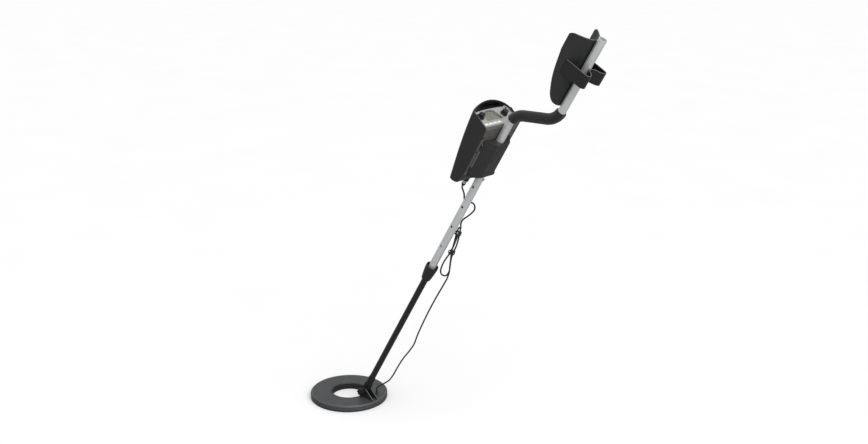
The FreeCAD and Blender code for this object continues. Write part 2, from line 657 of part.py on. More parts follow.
def battery_cover():
    t = 1.8
    x0, x1 = COVER_X
    outer = extrude_yz(cover_section(0), x0, x1)
    outer = outer.cut(prism_xz([(x0 - 1, COVER_Z - 1), (x0 + 6, COVER_Z - 1), (x0 - 1, 0)], -60, 60))
    inner = extrude_yz(cover_section(t), x0 + t, x1 - t)
    inner = inner.cut(prism_xz([(x0 + t - 1, COVER_Z), (x0 + t + 6.5, COVER_Z), (x0 + t - 1, 1.0)], -60, 60))
    shell = outer.cut(inner)
    # each end wall is open round the tube, along the arc that the tube follows as the cover swings
    near, far = 38.9, 60.0
    sweep = ring(far, near, V(x0 - 2, HINGE_Y, HINGE_Z), V(x1 + 2, HINGE_Y, HINGE_Z))
    sweep = sweep.common(block((x0 - 2, x1 + 2), (-30, 30), (0, 20)))
    tube = rod(TUBE_R + 0.8, V(x0 - 2, 0, 0), V(x1 + 2, 0, 0))
    shell = carve(shell, sweep, tube)
    pin_room = rod(1.3, V(x0, HINGE_Y, HINGE_Z), V(x1, HINGE_Y, HINGE_Z))
    for a, b in ((780.0, 796.0), (844.0, 860.0)):
        shell = shell.fuse(rod(2.4, V(a, HINGE_Y, HINGE_Z), V(b, HINGE_Y, HINGE_Z)))
        shell = shell.fuse(block((a, b), (HINGE_Y, -COVER_Y + 1), (HINGE_Z - 1.6, HINGE_Z)))
    centre_room = rod(2.7, V(795.9, HINGE_Y, HINGE_Z), V(844.1, HINGE_Y, HINGE_Z))
    latch_slot = block((x0 - 1, x0 + t + 1), (37.3, 41.7), (5.9, 9.4))
    return carve(shell, pin_room, centre_room, latch_slot).removeSplitter()


def cover_pin():
    return rod(1.24, V(779.0, HINGE_Y, HINGE_Z), V(861.0, HINGE_Y, HINGE_Z))


def battery_latch():
    """Thumb slider on the cover's lower end with a tongue through its wall."""
    x0 = COVER_X[0]
    thumb = block((x0 - 9.0, x0 - 0.2), (36.0, 48.5), (-3.0, 9.8))
    thumb = thumb.makeFillet(1.2, thumb.Edges)
    tongue = block((x0 - 1.5, x0 + 7.0), (37.6, 41.4), (6.2, 9.1))
    return merge(thumb, tongue)


# ---- panel group, drawn in its own frame: x across, y up the panel, z out of it ----
def panel_place():
    a = math.radians(PANEL_TILT)
    up = V(math.sin(a), 0, math.cos(a))
    out = V(math.cos(a), 0, -math.sin(a))
    m = FreeCAD.Matrix(0, up.x, out.x, PANEL_FOOT[0], 1, 0, 0, 0, 0, up.z, out.z, PANEL_FOOT[1], 0, 0, 0, 1)
    return FreeCAD.Placement(m)


def to_shaft(shape):
    out = shape.copy()
    out.Placement = panel_place().multiply(out.Placement)
    return out


def window_outline(grow):
    """Fan-shaped display window: wide foot, narrower arched top."""
    g = grow
    return [(-40 - g, 14.5 - g), (17 + g, 14.5 - g), (17 + g, 22), (7 + g * 0.8, 40 + g * 0.6), (-5, 44 + g),
            (-18, 44 + g), (-29 - g * 0.8, 40 + g * 0.6), (-40 - g, 22)]


def front_panel():
    plate = block((-75, 75), (-0.5, 70), (-PANEL_T, 0))
    plate = to_shaft(plate).common(box_cavity(FIT))
    bezel = prism_xy(window_outline(2.6), -0.1, 1.0)
    fitted = plate.fuse(to_shaft(bezel))
    cuts = [prism_xy(window_outline(0), -4, 3)]
    cuts += [block((x - 6.15, x + 6.15), (BUTTON_Y - 3.15, BUTTON_Y + 3.15), (-4, 3)) for x in BUTTON_X]
    cuts += [rod(3.6, V(k[0], k[1], -4), V(k[0], k[1], 3)) for k in (LEFT_KNOB, RIGHT_KNOB)]
    cuts.append(rod(5.1, V(JACK[0], JACK[1], -4), V(JACK[0], JACK[1], 3)))
    return carve(fitted, *[to_shaft(c) for c in cuts]).removeSplitter()


def display_window():
    return to_shaft(prism_xy(window_outline(-0.15), -PANEL_T, -0.8))


def display_module():
    frame = block((-40.6, 18.5), (13.0, 46.5), (-11.9, -6.2))
    glass = block((-39, 16), (15, 45), (-6.3, -4.2))
    return to_shaft(merge(frame, glass))


def circuit_board():
    return to_shaft(block((-54, 42), (1.5, 45), (-13.6, -12.0)))


def button(x):
    cap = block((x - 6, x + 6), (BUTTON_Y - 3, BUTTON_Y + 3), (-PANEL_T - 0.2, 2.4))
    cap = cap.makeFillet(0.9, [e for e in cap.Edges if e.CenterOfMass.z > 0])
    flange = block((x - 7, x + 7), (BUTTON_Y - 3.9, BUTTON_Y + 3.9), (-3.8, -2.7))
    stem = rod(1.6, V(x, BUTTON_Y, -7.4), V(x, BUTTON_Y, -3.5))
    return to_shaft(merge(cap, flange, stem))


def button_switches():
    out = []
    for x in BUTTON_X:
        body = block((x - 3, x + 3), (BUTTON_Y - 3, BUTTON_Y + 3), (-11.95, -9.6))
        out.append(to_shaft(body.fuse(rod(1.5, V(x, BUTTON_Y, -9.7), V(x, BUTTON_Y, -8.9)))))
    return group(out)


def potentiometer(at):
    body = block((at[0] - 8, at[0] + 8), (at[1] - 8, at[1] + 8), (-10.8, -PANEL_T - 0.05))
    neck = rod(3.5, V(at[0], at[1], -3), V(at[0], at[1], 0.5))
    shaft = rod(3.0, V(at[0], at[1], 0), V(at[0], at[1], 9.5))
    return to_shaft(merge(body, neck, shaft))


def knob(at):
    skirt = Part.makeCone(8.8, 8.2, 3.0, V(at[0], at[1], 0.7))
    grip = Part.makeCone(7.4, 6.9, 7.5, V(at[0], at[1], 3.6))
    shape = skirt.fuse(grip)
    for k in range(12):
        a = math.radians(30 * k)
        shape = shape.cut(rod(0.9, V(at[0] + 7.7 * math.cos(a), at[1] + 7.7 * math.sin(a), 3.8),
                              V(at[0] + 7.1 * math.cos(a), at[1] + 7.1 * math.sin(a), 12.0)))
    pointer = block((at[0] - 0.5, at[0] + 0.5), (at[1] + 2.5, at[1] + 6.4), (10.9, 11.6))
    bore = rod(3.0 + RUN, V(at[0], at[1], 0), V(at[0], at[1], 9.8))
    return to_shaft(shape.fuse(pointer).cut(bore).removeSplitter())


def headphone_jack():
    at = V(JACK[0], JACK[1], 0)
    barrel = rod(5.0, at.add(V(0, 0, -16)), at.add(V(0, 0, 2.6)))
    flange = rod(7.0, at.add(V(0, 0, -4.6)), at.add(V(0, 0, -PANEL_T - 0.05)))
    nut = rod(6.6, at.add(V(0, 0, 0.05)), at.add(V(0, 0, 1.9)))
    bore = rod(JACK_BORE_R, at.add(V(0, 0, -14)), at.add(V(0, 0, 4)))
    return to_shaft(merge(barrel, flange, nut).cut(bore))


def speaker():
    at = V(883, 36, BOX_FLOOR + 2.55)
    frame = Part.makeCone(13.5, 12.5, 2.0, at)
    magnet = rod(8.0, at.add(V(0, 0, 1.9)), at.add(V(0, 0, 7.0)))
    dish = Part.makeCone(12.0, 5.0, 1.4, at.add(V(0, 0, -0.01)))
    return merge(frame, magnet).cut(dish)


def wiring_loom():
    """Leads from the battery snaps, the speaker and the coil socket to the board's foot."""
    leads = [
        [(847.0, -30, 20), (853, -30, 20.1), (860, -29, 25), (872, -26, 30), (888, -24, 30)],
        [(847.0, 30, 20), (853, 30, 20.1), (860, 29, 25), (872, 20, 32), (888, 16, 30)],
        [(753, SOCKET_Y, 31), (790, -4, 38), (850, -4, 38), (889, -4, 33)],
        [(883, 36, 20.8), (882.5, 35, 26), (883, 32, 30), (888.5, 30, 33)],
    ]
    return group([cable(points, 0.9) for points in leads])


# ---- cable and its plug ----
def cable_socket():
    a = V(0, SOCKET_Y, SOCKET_Z)
    flange = rod(8.4, a.add(V(BOX_TOE - 2.4, 0, 0)), a.add(V(BOX_TOE - 0.1, 0, 0)))
    barrel = rod(6.4, a.add(V(BOX_TOE - 0.2, 0, 0)), a.add(V(BOX_TOE + 13, 0, 0)))
    nose = rod(5.4, a.add(V(BOX_TOE - 6.0, 0, 0)), a.add(V(BOX_TOE - 2.3, 0, 0)))
    bore = rod(4.3, a.add(V(BOX_TOE - 7, 0, 0)), a.add(V(BOX_TOE + 5, 0, 0)))
    return merge(flange, barrel, nose).cut(bore)


def cable_plug():
    a = V(0, SOCKET_Y, SOCKET_Z)
    body = rod(5.4, a.add(V(718, 0, 0)), a.add(V(BOX_TOE - 6.1, 0, 0)))
    nose = rod(4.2, a.add(V(BOX_TOE - 6.2, 0, 0)), a.add(V(BOX_TOE + 3, 0, 0)))
    boot = Part.makeCone(2.9, 5.0, 8.0, a.add(V(710, 0, 0)), V(1, 0, 0))
    return merge(body, nose, boot)


def plug_ring():
    a = V(0, SOCKET_Y, SOCKET_Z)
    shape = ring(7.4, 5.46, a.add(V(726.5, 0, 0)), a.add(V(BOX_TOE - 2.6, 0, 0)))
    for k in range(16):
        t = math.radians(22.5 * k)
        d = V(0, 7.7 * math.cos(t), 7.7 * math.sin(t))
        shape = shape.cut(rod(0.7, a.add(V(726, 0, 0)).add(d), a.add(V(BOX_TOE - 2, 0, 0)).add(d)))
    return shape


UPPER_RUN = [
    (709.6, -1, 31), (705, -1, 30.6), (699, 1.5, 27), (690, 6, 21), (679, 8.5, 16), (670, 12, 11.5),
    (669, 15.5, 7), (674, 17, 2), (678.5, 17.5, -4), (679, 17.5, -11), (675, 17.5, -16),
    (668, 17.5, -18.5), (658, 17, -17), (641.5, 16.5, -11.5), (630, 16.3, -6.5), (620, 17.3, -3.5),
    (608, 21.5, -2.5), (598, 23, -6.5), (583, 21.5, -12.5),
    (556, 18, -22), (530, 15, -25.5), (515, 12, -31), (502, 10, -37.5), (488, 9.5, -43), (474, 9.5, -42.5),
    (465.5, 9.5, -35.5), (464, 9.5, -27), (472, 9.5, -20.5), (493, 10, -17.5), (512, 10.5, -18.5),
    (530, 11, -20), (556, 12, -18.5), (583, 15, -13.2), (596, 15.2, -12.9), (599, 15.9, -11.6),
    (600.3, 16.9, -8.6), (599, 17.9, -5.6), (596, 18.6, -4.3), (583, 19, -5), (556, 19, -12), (530, 19, -18),
    (512, 18, -26), (496, 17, -33.5), (480, 17, -40.5), (462, 17.5, -43.5), (441, 18, -43.5)]

LOWER_RUN = [
    (441, 18, -43.5), (386, 19, -42), (326.5, 20, -42.5), (261, 21, -46), (223, 22, -50), (191, 23, -47),
    (155, 24, -41.5), (121, 25, -39.5), (90, 25.5, -39)]

COIL_RUN = [(89.5, 25.5, -39), (64, 26.5, -35.5), (38, 28.5, -25.5), (14, 31, -14.5), (0.5, 33.2, -11.2)]


def cable_coil_end():
    """Last stretch of the cable, down into the gland on the coil."""
    to_shaft_frame = SHAFT_PLACE.inverse()
    ends = [tuple(to_shaft_frame.multVec(V(73.8, 33.5, COIL_T + h))) for h in (9.0, 3.0)]
    return cable(COIL_RUN + ends, CABLE_R)


def cable_ties():
    out = []
    for x, y, z in ((530.0, 15.0, -21.0), (583.0, 18.5, -9.5)):
        tie = ring(8.6, 7.7, V(x - 2.2, y, z), V(x + 2.2, y, z))
        lock = block((x - 2.6, x + 2.6), (y + 8.0, y + 11.6), (z - 2.6, z + 2.6))
        out.append(merge(tie, lock))
    return group(out)


def main():
    os.makedirs("parts", exist_ok=True)

    export("coil_lower_shell", coil_lower_shell())
    export("coil_upper_shell", coil_upper_shell())
    export("transmit_winding", winding(96.0, 4.0, 6.0))
    export("receive_winding", winding(56.0, 4.0, 6.0))
    export("cable_gland", cable_gland())
    export("pivot_bolt", pivot_bolt())
    export("pivot_washers", pivot_washers())
    export("pivot_knob", pivot_knob())

    toward_near = V(0, -1, 0)
    toward_ground = V(0, 0, -1)
    on_shaft("rod_tip", rod_tip())
    on_shaft("lower_rod", lower_rod())
    on_shaft("rod_button", snap_button(FIRST_HOLE, toward_near, 11.0, 4.1))
    on_shaft("rod_button_spring", leaf_spring(FIRST_HOLE, toward_near, 4.1, ROD_BORE_R))
    on_shaft("locking_collar", locking_collar())
    on_shaft("collet", collet())
    on_shaft("middle_tube", middle_tube())
    on_shaft("mid_button", snap_button(MID_BUTTON_X, toward_ground, 11.2, 4.6))
    on_shaft("mid_button_spring", leaf_spring(MID_BUTTON_X, toward_ground, 4.6, SPIGOT_BORE_R))
    on_shaft("upper_tube", upper_tube())
    on_shaft("foam_grip", foam_grip())
    on_shaft("arm_cuff", arm_cuff())
    on_shaft("stand_bracket", stand_bracket())
    on_shaft("cuff_bolts", cuff_bolts())
    on_shaft("cuff_nuts", cuff_nuts())

    on_shaft("housing_shell", housing_shell())
    on_shaft("housing_base", housing_base())
    on_shaft("housing_screws", housing_screws())
    on_shaft("tube_clamps", tube_clamps())
    on_shaft("clamp_screws", clamp_screws())
    on_shaft("battery_holder", battery_holder())
    on_shaft("batteries", batteries())
    on_shaft("battery_snaps", battery_snaps())
    on_shaft("battery_cover", battery_cover())
    on_shaft("cover_hinge_pin", cover_pin())
    on_shaft("battery_latch", battery_latch())

    on_shaft("front_panel", front_panel())
    on_shaft("display_window", display_window())
    on_shaft("display_module", display_module())
    on_shaft("circuit_board", circuit_board())
    for k, x in enumerate(BUTTON_X):
        on_shaft("panel_button_" + str(k + 1), button(x))
    on_shaft("button_switches", button_switches())
    on_shaft("mode_potentiometer", potentiometer(LEFT_KNOB))
    on_shaft("mode_knob", knob(LEFT_KNOB))
    on_shaft("sensitivity_potentiometer", potentiometer(RIGHT_KNOB))
    on_shaft("sensitivity_knob", knob(RIGHT_KNOB))
    on_shaft("headphone_jack", headphone_jack())
    on_shaft("speaker", speaker())
    on_shaft("wiring_loom", wiring_loom())

    on_shaft("cable_socket", cable_socket())
    on_shaft("cable_plug", cable_plug())
    on_shaft("plug_ring", plug_ring())
    on_shaft("cable_upper_run", cable(UPPER_RUN, CABLE_R))
    on_shaft("cable_lower_run", cable(LOWER_RUN, CABLE_R))
    on_shaft("cable_coil_end", cable_coil_end())
    on_shaft("cable_ties", cable_ties())


main()
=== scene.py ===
"""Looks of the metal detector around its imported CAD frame."""
import bpy
import math
from mathutils import Matrix, Vector, noise


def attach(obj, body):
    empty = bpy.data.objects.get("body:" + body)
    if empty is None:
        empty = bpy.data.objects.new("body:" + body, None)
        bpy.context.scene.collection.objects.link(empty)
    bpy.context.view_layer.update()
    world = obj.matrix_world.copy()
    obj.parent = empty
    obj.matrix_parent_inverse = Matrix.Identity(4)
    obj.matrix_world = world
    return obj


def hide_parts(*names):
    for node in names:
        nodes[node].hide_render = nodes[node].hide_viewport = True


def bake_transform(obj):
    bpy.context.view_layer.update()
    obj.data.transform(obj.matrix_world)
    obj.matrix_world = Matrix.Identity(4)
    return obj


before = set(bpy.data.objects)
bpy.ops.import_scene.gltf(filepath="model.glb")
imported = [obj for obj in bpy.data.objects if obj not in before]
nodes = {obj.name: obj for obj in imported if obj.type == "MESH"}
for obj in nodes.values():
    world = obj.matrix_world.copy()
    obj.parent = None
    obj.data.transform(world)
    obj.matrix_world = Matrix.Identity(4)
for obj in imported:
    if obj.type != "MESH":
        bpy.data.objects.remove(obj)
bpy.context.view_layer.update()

# ---- the frame's own drawing frames, millimetres in, row-frame metres out ----
TILT = math.radians(60.0)
PIVOT = Vector((0.064, 0.0, 0.039))
ALONG = Vector((math.cos(TILT), 0.0, math.sin(TILT)))
ACROSS = Vector((0.0, 1.0, 0.0))
OUT = Vector((-math.sin(TILT), 0.0, math.cos(TILT)))
PANEL_TILT = math.radians(8.0)
PANEL_FOOT = (907.7, 15.7)
COIL_TOP = 0.017
HOLE_EDGE_R = 0.0490         # just inside the coil's hole edge, metres
EAR_FOOT_Z = 0.0188          # the pivot ears stand above this height
SIDE_FOOT_Z = 0.0050         # the lowest band of the coil's side, painted darker as shade
LEFT_DIAL, RIGHT_DIAL = (-51.0, 30.0), (31.0, 26.0)
DIAL_R = 9.6
BUTTON_X = (-53.5, -38.0, -22.5, -7.0)
ROD_BUTTON_S, MID_BUTTON_S = 541.0, 760.5
ROD_BORE_R, SPIGOT_BORE_R = 6.2, 6.7


def shaft(s, y, n):
    """Point s up the shaft, y to the far side, n square to both."""
    return PIVOT + (ALONG * s + ACROSS * y + OUT * n) * 0.001


def panel(x, y, z):
    """Point x across the panel, y up it, z out of it."""
    up, out = math.sin(PANEL_TILT), math.cos(PANEL_TILT)
    return shaft(PANEL_FOOT[0] + y * up + z * out, x, PANEL_FOOT[1] + y * out - z * up)


# ---- materials ----
class Graph:
    """Small helper around one material's node tree."""

    def __init__(self, name):
        self.material = bpy.data.materials.new(name)
        self.material.use_nodes = True
        self.tree = self.material.node_tree
        self.bsdf = self.tree.nodes["Principled BSDF"]
        self.output = self.tree.nodes["Material Output"]

    def add(self, kind, **values):
        node = self.tree.nodes.new("ShaderNode" + kind)
        for key, value in values.items():
            if hasattr(node, key):
                setattr(node, key, value)
            else:
                node.inputs[key.replace("_", " ")].default_value = value
        return node

    def link(self, a, b):
        self.tree.links.new(a, b)

    def coords(self, stretch=(1, 1, 1), along_shaft=False):
        """Object coordinates, turned so that X runs up the shaft if asked, then stretched."""
        coord = self.add("TexCoord").outputs["Object"]
        if along_shaft:
            turn = self.add("Mapping")
            turn.inputs["Rotation"].default_value = (0, TILT, 0)
            self.link(coord, turn.inputs["Vector"])
            coord = turn.outputs["Vector"]
        if tuple(stretch) != (1, 1, 1):
            scale = self.add("Mapping")
            scale.inputs["Scale"].default_value = stretch
            self.link(coord, scale.inputs["Vector"])
            coord = scale.outputs["Vector"]
        return coord

    def noise(self, scale, detail=3.0, coords=None, rough=0.55):
        node = self.add("TexNoise", Scale=scale, Detail=detail, Roughness=rough)
        self.link(coords or self.coords(), node.inputs["Vector"])
        return node.outputs["Fac"]

    def spread(self, value, low, high, from_low=0.3, from_high=0.7):
        node = self.add("MapRange", From_Min=from_low, From_Max=from_high, To_Min=low, To_Max=high)
        self.link(value, node.inputs["Value"])
        return node.outputs["Result"]

    def mix(self, factor, a, b):
        node = self.add("Mix", data_type="RGBA")
        for socket, value in ((node.inputs[0], factor), (node.inputs[6], a), (node.inputs[7], b)):
            if isinstance(value, bpy.types.NodeSocket):
                self.link(value, socket)
            else:
                socket.default_value = value
        return node.outputs[2]

    def maths(self, operation, a, b=0.0):
        node = self.add("Math", operation=operation)
        for socket, value in ((node.inputs[0], a), (node.inputs[1], b)):
            if isinstance(value, bpy.types.NodeSocket):
                self.link(value, socket)
            else:
                socket.default_value = value
        return node.outputs[0]


def shade(colour, factor):
    return tuple(min(1.0, c * factor) for c in colour) + (1.0,)


def finish(name, colour, rough, metal=0.0, grain=900.0, depth=0.00006, strength=0.25, mottle=0.12,
           edge_wear_and_highlight=0.35, edge_wear_and_highlight_gain=2.6, edge=0.0005, stretch=(1, 1, 1), along=False, cells=0.0, coat=0.0,
           sheen=0.0, specular=0.5, painted_shade_zone=None):
    """Moulded, turned or brushed finish: colour drift, grain, uneven gloss, softened edges, and edges
    painted lighter, partly as worn edges and partly as painted highlight.
    """
    g = Graph(name)
    drift = g.noise(14.0, 4.0)
    fine = g.noise(grain, 3.0, g.coords(stretch, along))
    tone = g.mix(g.spread(drift, 0, 1), shade(colour, 1 - mottle), shade(colour, 1 + mottle))
    tone = g.mix(g.spread(fine, 0, 0.35), tone, shade(colour, 1 + mottle * 1.6))
    if painted_shade_zone:
        # painted shade: the masked parts of the coil are darkened to 0.22 of their colour
        tone = g.mix(painted_shade_zone(g), tone, shade(colour, 0.22))

    soft = g.add("Bevel", samples=4, Radius=edge)
    facing = g.add("NewGeometry")
    dot = g.add("VectorMath", operation="DOT_PRODUCT")
    g.link(soft.outputs["Normal"], dot.inputs[0])
    g.link(facing.outputs["Normal"], dot.inputs[1])
    # painted highlight and worn edges: where the bevelled normal bends away from the true one, the colour is
    # lifted by the gain, drawing light lines along edges
    worn_and_lit_edges = g.maths("SUBTRACT", 1.0, dot.outputs["Value"])
    worn_and_lit_edges = g.maths("MULTIPLY", g.spread(worn_and_lit_edges, 0, 1, 0.02, 0.3), g.spread(g.noise(70.0), 0.2, edge_wear_and_highlight))
    g.link(g.mix(worn_and_lit_edges, tone, shade(colour, edge_wear_and_highlight_gain)), g.bsdf.inputs["Base Color"])

    gloss = g.spread(g.noise(42.0, 5.0), max(0.04, rough - 0.07), min(1.0, rough + 0.09))
    g.link(gloss, g.bsdf.inputs["Roughness"])
    height = fine
    if cells:
        pores = g.add("TexVoronoi", Scale=cells)
        g.link(g.coords(), pores.inputs["Vector"])
        height = g.maths("ADD", fine, g.maths("MULTIPLY", pores.outputs["Distance"], 1.4))
    bump = g.add("Bump", Strength=strength, Distance=depth)
    g.link(height, bump.inputs["Height"])
    g.link(soft.outputs["Normal"], bump.inputs["Normal"])
    g.link(bump.outputs["Normal"], g.bsdf.inputs["Normal"])
    g.bsdf.inputs["Metallic"].default_value = metal
    g.bsdf.inputs["Specular IOR Level"].default_value = specular
    g.bsdf.inputs["Coat Weight"].default_value = coat
    g.bsdf.inputs["Sheen Weight"].default_value = sheen
    return g.material


def coil_painted_shade(g):
    """1 where the coil's colour is darkened as painted shade: its ears, the wall of its hole and the foot of
    its side.
    """
    place = g.add("SeparateXYZ")
    g.link(g.coords(), place.inputs[0])
    x, y, z = place.outputs
    reach = g.maths("SQRT", g.maths("ADD", g.maths("MULTIPLY", x, x), g.maths("MULTIPLY", y, y)))
    hole = g.maths("LESS_THAN", reach, HOLE_EDGE_R)
    high = g.maths("GREATER_THAN", z, EAR_FOOT_Z)
    low = g.maths("MULTIPLY", g.maths("LESS_THAN", z, SIDE_FOOT_Z), 0.7)
    return g.maths("MAXIMUM", g.maths("MAXIMUM", hole, high), low)


def winding_finish(name):
    """Enamelled copper wire laid round the coil's centre, seen as fine rings."""
    g = Graph(name)
    rings = g.add("TexWave", wave_type="RINGS", rings_direction="Z", Scale=520.0, Distortion=0.6)
    g.link(g.coords(), rings.inputs["Vector"])
    g.link(g.mix(rings.outputs["Fac"], (0.20, 0.055, 0.018, 1), (0.72, 0.28, 0.10, 1)),
           g.bsdf.inputs["Base Color"])
    bump = g.add("Bump", Strength=0.6, Distance=0.0002)
    g.link(rings.outputs["Fac"], bump.inputs["Height"])
    g.link(bump.outputs["Normal"], g.bsdf.inputs["Normal"])
    g.link(g.spread(g.noise(60.0), 0.25, 0.45), g.bsdf.inputs["Roughness"])
    g.bsdf.inputs["Metallic"].default_value = 0.8
    return g.material


def board_finish(name):
    """Green solder mask with faint tracks under it and tin pads."""
    g = Graph(name)
    tracks = g.add("TexBrick", Scale=260.0)
    g.link(g.coords((1, 1.6, 1), True), tracks.inputs["Vector"])
    pads = g.add("TexVoronoi", Scale=260.0)
    g.link(g.coords(), pads.inputs["Vector"])
    tin = g.spread(pads.outputs["Distance"], 1, 0, 0.16, 0.2)
    mask = g.mix(tracks.outputs["Fac"], (0.010, 0.095, 0.030, 1), (0.030, 0.22, 0.075, 1))
    g.link(g.mix(tin, mask, (0.62, 0.60, 0.55, 1)), g.bsdf.inputs["Base Color"])
    g.link(g.spread(g.noise(80.0), 0.2, 0.4), g.bsdf.inputs["Roughness"])
    g.link(g.maths("MULTIPLY", tin, 0.8), g.bsdf.inputs["Metallic"])
    bump = g.add("Bump", Strength=0.4, Distance=0.0001)
    g.link(tracks.outputs["Fac"], bump.inputs["Height"])
    g.link(bump.outputs["Normal"], g.bsdf.inputs["Normal"])
    return g.material


def window_finish(name):
    """Thin clear plastic: mostly see-through, with faint scratches in its gloss."""
    g = Graph(name)
    clear = g.add("BsdfTransparent")
    clear.inputs["Color"].default_value = (0.95, 0.96, 0.95, 1)
    fresnel = g.add("Fresnel", IOR=1.4)
    scratch = g.noise(160.0, 6.0, g.coords((1, 7, 1)))
    g.link(g.spread(scratch, 0.05, 0.2), g.bsdf.inputs["Roughness"])
    g.bsdf.inputs["Base Color"].default_value = (0.8, 0.82, 0.8, 1)
    both = g.add("MixShader")
    front = g.maths("SUBTRACT", 1.0, g.add("NewGeometry").outputs["Backfacing"])
    g.link(g.maths("MULTIPLY", fresnel.outputs[0], front), both.inputs[0])
    g.link(clear.outputs[0], both.inputs[1])
    g.link(g.bsdf.outputs[0], both.inputs[2])
    g.link(both.outputs[0], g.output.inputs["Surface"])
    return g.material


BLACK = (0.0105, 0.0105, 0.0115)
FINISH = {
    "coil": finish("coil_plastic", (0.050, 0.052, 0.054), 0.46, grain=700, depth=0.00012, strength=0.35,
                   mottle=0.10, edge_wear_and_highlight=0.6, edge_wear_and_highlight_gain=3.4, edge=0.0009, painted_shade_zone=coil_painted_shade),
    "copper": winding_finish("copper"),
    "rubber": finish("cable_rubber", (0.012, 0.012, 0.013), 0.52, grain=1500, edge_wear_and_highlight=0.1, sheen=0.08),
    "black": finish("black_plastic", BLACK, 0.36, grain=1100, edge_wear_and_highlight=0.5, edge_wear_and_highlight_gain=6.0),
    "rod": finish("rod_black", (0.0085, 0.0088, 0.0095), 0.34, grain=260, depth=0.00004,
                  stretch=(0.08, 1, 1), along=True, edge_wear_and_highlight=0.2, edge_wear_and_highlight_gain=4.0),
    "steel": finish("steel", (0.60, 0.60, 0.61), 0.27, metal=1.0, grain=1200, edge_wear_and_highlight=0.3, edge_wear_and_highlight_gain=1.3),
    "dark_steel": finish("dark_steel", (0.055, 0.055, 0.06), 0.36, metal=0.85, grain=1300, edge_wear_and_highlight=0.5,
                         edge_wear_and_highlight_gain=5.0),
    "aluminium": finish("aluminium", (0.84, 0.85, 0.86), 0.34, metal=0.60, grain=900, depth=0.00003,
                        strength=0.3, mottle=0.04, stretch=(0.03, 1, 1), along=True, edge_wear_and_highlight=0.3,
                        edge_wear_and_highlight_gain=1.15, edge=0.0003),
    "foam": finish("foam", (0.014, 0.014, 0.015), 0.93, grain=620, depth=0.0005, strength=0.7, mottle=0.2,
                   edge_wear_and_highlight=0.2, cells=850, sheen=0.35, edge=0.001, specular=0.2),
    "cuff": finish("cuff_plastic", (0.021, 0.0215, 0.023), 0.47, grain=620, depth=0.0001, strength=0.35,
                   edge_wear_and_highlight=0.8, edge_wear_and_highlight_gain=8.0, edge=0.0009),
    "housing": finish("housing_plastic", (0.0155, 0.016, 0.0168), 0.50, grain=520, depth=0.00016,
                      strength=0.45, mottle=0.14, edge_wear_and_highlight=0.7, edge_wear_and_highlight_gain=7.0, edge=0.0009, cells=480),
    "base": finish("base_plastic", (0.115, 0.112, 0.106), 0.50, grain=520, depth=0.00014, edge_wear_and_highlight=0.5,
                   edge_wear_and_highlight_gain=5.0, edge=0.0008),
    "cover": finish("cover_plastic", (0.022, 0.022, 0.023), 0.52, grain=520, depth=0.00014, edge_wear_and_highlight=0.5,
                    edge_wear_and_highlight_gain=5.0, edge=0.0008),
    "battery": finish("battery_wrap", (0.030, 0.085, 0.22), 0.30, grain=240, edge_wear_and_highlight=0.4, coat=0.3),
    "panel": finish("panel_silver", (0.54, 0.54, 0.53), 0.34, metal=0.55, grain=1500, depth=0.00003,
                    mottle=0.05, stretch=(1, 0.05, 1), edge_wear_and_highlight=0.4, edge_wear_and_highlight_gain=1.5),
    "window": window_finish("window"),
    "display": finish("display_face", (0.225, 0.215, 0.175), 0.30, grain=1800, depth=0.00002, mottle=0.05,
                      edge_wear_and_highlight=0.05),
    "board": board_finish("board_green"),
    "button": finish("button_white", (0.78, 0.78, 0.76), 0.42, grain=1200, mottle=0.04, edge_wear_and_highlight=0.3,
                     edge_wear_and_highlight_gain=0.6),
    "knob": finish("knob_black", (0.009, 0.009, 0.0095), 0.28, grain=1100, edge_wear_and_highlight=0.5, edge_wear_and_highlight_gain=7.0),
    "chrome": finish("chrome_trim", (0.80, 0.80, 0.80), 0.13, metal=1.0, grain=1400, depth=0.00002,
                     edge_wear_and_highlight=0.2, edge_wear_and_highlight_gain=1.1),
    "wire": finish("wire_red", (0.42, 0.018, 0.014), 0.45, grain=900, edge_wear_and_highlight=0.1),
    # painted highlight: light grey for beads that stand in for light caught along edges
    "edge": finish("painted_edge_highlight", (0.16, 0.16, 0.16), 0.38, grain=1300, edge_wear_and_highlight=0.5, edge_wear_and_highlight_gain=2.2),
    # painted shade: near-black gloss for the sheets that darken the hood's inside and the panel's top
    "gloss": finish("painted_shade_black", (0.004, 0.004, 0.0045), 0.25, grain=1400, depth=0.00001, edge_wear_and_highlight=0.05,
                    specular=0.12),
    "ink": finish("legend_ink", (0.012, 0.012, 0.014), 0.6, grain=1600, edge_wear_and_highlight=0.1),
}

NODE_FINISH = {
    "coil": "coil_lower_shell coil_upper_shell",
    "copper": "transmit_winding receive_winding",
    "rubber": "cable_gland pivot_washers cable_ties cable_upper_run cable_lower_run cable_coil_end",
    "black": "pivot_bolt rod_tip locking_collar collet battery_holder battery_snaps speaker "
             "stand_bracket tube_clamps battery_latch plug_ring cable_socket",
    "knob": "pivot_knob mode_knob sensitivity_knob",
    "rod": "lower_rod",
    "steel": "rod_button rod_button_spring mid_button mid_button_spring cover_hinge_pin cable_plug",
    "dark_steel": "cuff_bolts cuff_nuts housing_screws clamp_screws mode_potentiometer "
                  "sensitivity_potentiometer button_switches",
    "aluminium": "middle_tube upper_tube",
    "foam": "foam_grip",
    "cuff": "arm_cuff",
    "housing": "housing_shell",
    "base": "housing_base",
    "cover": "battery_cover",
    "battery": "batteries",
    "panel": "front_panel",
    "window": "display_window",
    "display": "display_module",
    "board": "circuit_board",
    "button": "panel_button_1 panel_button_2 panel_button_3 panel_button_4",
    "chrome": "headphone_jack",
    "wire": "wiring_loom",
}


def dress(obj, finish_name):
    obj.data.materials.clear()
    obj.data.materials.append(FINISH[finish_name])


for finish_name, names in NODE_FINISH.items():
    for name in names.split():
        dress(nodes[name], finish_name)


